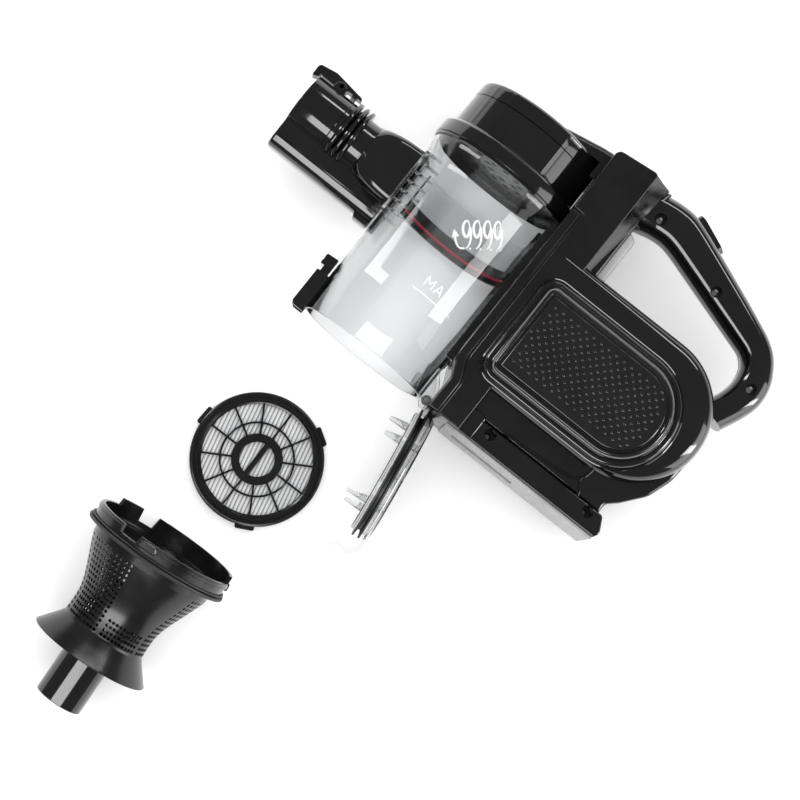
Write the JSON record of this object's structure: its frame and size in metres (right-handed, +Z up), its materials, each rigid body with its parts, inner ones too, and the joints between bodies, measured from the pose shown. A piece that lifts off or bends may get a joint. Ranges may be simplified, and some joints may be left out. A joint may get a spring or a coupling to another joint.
{
  "type": "handheld vacuum",
  "caption": "Handheld cyclonic vacuum with a clear dust cup, side battery pod and loop handle, laid out for cleaning with its cup door open, shroud and pleated filter beside it",
  "frame": {"origin": "middle of the whole layout's footprint, on the table", "axes": "+Z up from the table and square to the vacuum's mid-plane, +Y from the cup's open door to the motor head, +X from the nozzle to the handle"},
  "size_m": [0.381, 0.5342, 0.1108],
  "materials": {
    "black_gloss": "glossy moulded",
    "black_satin": "fine satin grain",
    "panel_grip": "soft satin with raised dots",
    "trim_bright": "polished edge",
    "light_grey": "satin",
    "clear_plastic": "clear moulded plastic",
    "smoke_plastic": "translucent grey",
    "red_line": "thin silicone line",
    "black_rubber": "soft rubber",
    "pleat_white": "pleated filter paper",
    "steel": "plain",
    "spring_steel": "drawn wire",
    "copper": "plated contact",
    "board_green": "solder mask",
    "motor_alloy": "machined",
    "iron_core": "laminated",
    "cell_wrap": "wrapped cells",
    "impeller_grey": "moulded"
  },
  "bodies": {
    "vacuum": {"housing_left": "black_satin", "housing_right": "black_satin", "side_panel_left": "panel_grip", "side_panel_right": "panel_grip", "panel_trim_left": "trim_bright", "panel_trim_right": "trim_bright", "housing_screws": "steel", "base_plate": "light_grey", "base_contact": "black_gloss", "dock_contacts": "copper", "motor_collar": "black_satin", "motor_cover": "black_gloss", "head_fairing": "black_satin", "intake_grille": "black_satin", "motor_can": "motor_alloy", "motor_mount": "black_rubber", "motor_stator": "iron_core", "battery_cells": "cell_wrap", "battery_holder": "black_satin", "bms_board": "board_green", "control_board": "board_green", "power_strip": "black_gloss", "power_spring": "spring_steel", "mode_spring": "spring_steel", "trigger_spring": "spring_steel", "dust_cup": "clear_plastic", "cup_seal": "black_rubber", "guide_band": "black_gloss", "red_seal": "red_line", "air_guide": "smoke_plastic", "latch_guide": "black_gloss", "latch_spring": "spring_steel", "hinge_pin": "steel", "inlet_tube": "black_gloss", "inlet_channel": "black_gloss", "inlet_terminals": "copper", "lever_pin": "steel", "lever_spring": "spring_steel"},
    "rotor": {"rotor_shaft": "steel", "impeller": "impeller_grey"},
    "power_key": {"power_button": "black_satin"},
    "mode_key": {"mode_button": "black_gloss"},
    "trigger_pull": {"trigger": "light_grey"},
    "latch_slide": {"door_latch": "black_gloss"},
    "door": {"door_plate": "clear_plastic", "door_seal": "black_rubber", "door_cover": "clear_plastic", "door_hinge": "black_gloss"},
    "lever": {"release_lever": "black_satin"},
    "shroud": {"shroud_collar": "black_gloss", "shroud_seal": "black_rubber", "shroud_cone": "black_satin", "shroud_skirt": "black_satin", "shroud_tube": "black_gloss"},
    "filter": {"filter_frame": "black_satin", "filter_media": "pleat_white", "filter_case": "light_grey", "filter_gasket": "black_rubber"}
  },
  "joints": [
    {"name": "impeller_spin", "type": "hinge", "parent": "vacuum", "child": "rotor", "pos_m": [-0.04514, 0.21516, 0.0554], "axis": [0, 1, 0], "continuous": true},
    {"name": "power_press", "type": "slide", "parent": "vacuum", "child": "power_key", "axis": [0.1148, -0.9934, 0], "range_m": [0, 0.0018], "stiffness_N_per_m": 400, "springref_m": -0.001, "deforming": ["power_spring"]},
    {"name": "mode_press", "type": "slide", "parent": "vacuum", "child": "mode_key", "axis": [-0.3798, -0.9251, 0], "range_m": [0, 0.0015], "stiffness_N_per_m": 400, "springref_m": -0.001, "deforming": ["mode_spring"]},
    {"name": "trigger_pull", "type": "slide", "parent": "vacuum", "child": "trigger_pull", "axis": [-1, 0, 0], "range_m": [0, 0.004], "stiffness_N_per_m": 500, "springref_m": -0.001, "deforming": ["trigger_spring"]},
    {"name": "latch_push", "type": "slide", "parent": "vacuum", "child": "latch_slide", "axis": [0, -1, 0], "range_m": [0, 0.003], "stiffness_N_per_m": 500, "springref_m": -0.001, "deforming": ["latch_spring"]},
    {"name": "door_hinge", "type": "hinge", "parent": "vacuum", "child": "door", "pos_m": [0.00916, 0.04716, 0.0554], "axis": [0, 0, 1], "range_deg": [-99, 0]},
    {"name": "lever_rock", "type": "hinge", "parent": "vacuum", "child": "lever", "pos_m": [-0.16914, 0.18016, 0.0554], "axis": [0, 0, -1], "range_deg": [0, 5], "stiffness_Nm_per_rad": 0.25, "springref_deg": -5.73, "deforming": ["lever_spring"]},
    {"name": "shroud_lift", "type": "slide", "parent": "vacuum", "child": "shroud", "axis": [0, 0, 1], "range_m": [0, 0.15]},
    {"name": "filter_lift", "type": "slide", "parent": "vacuum", "child": "filter", "axis": [0, 0, 1], "range_m": [0, 0.15]}
  ]
}
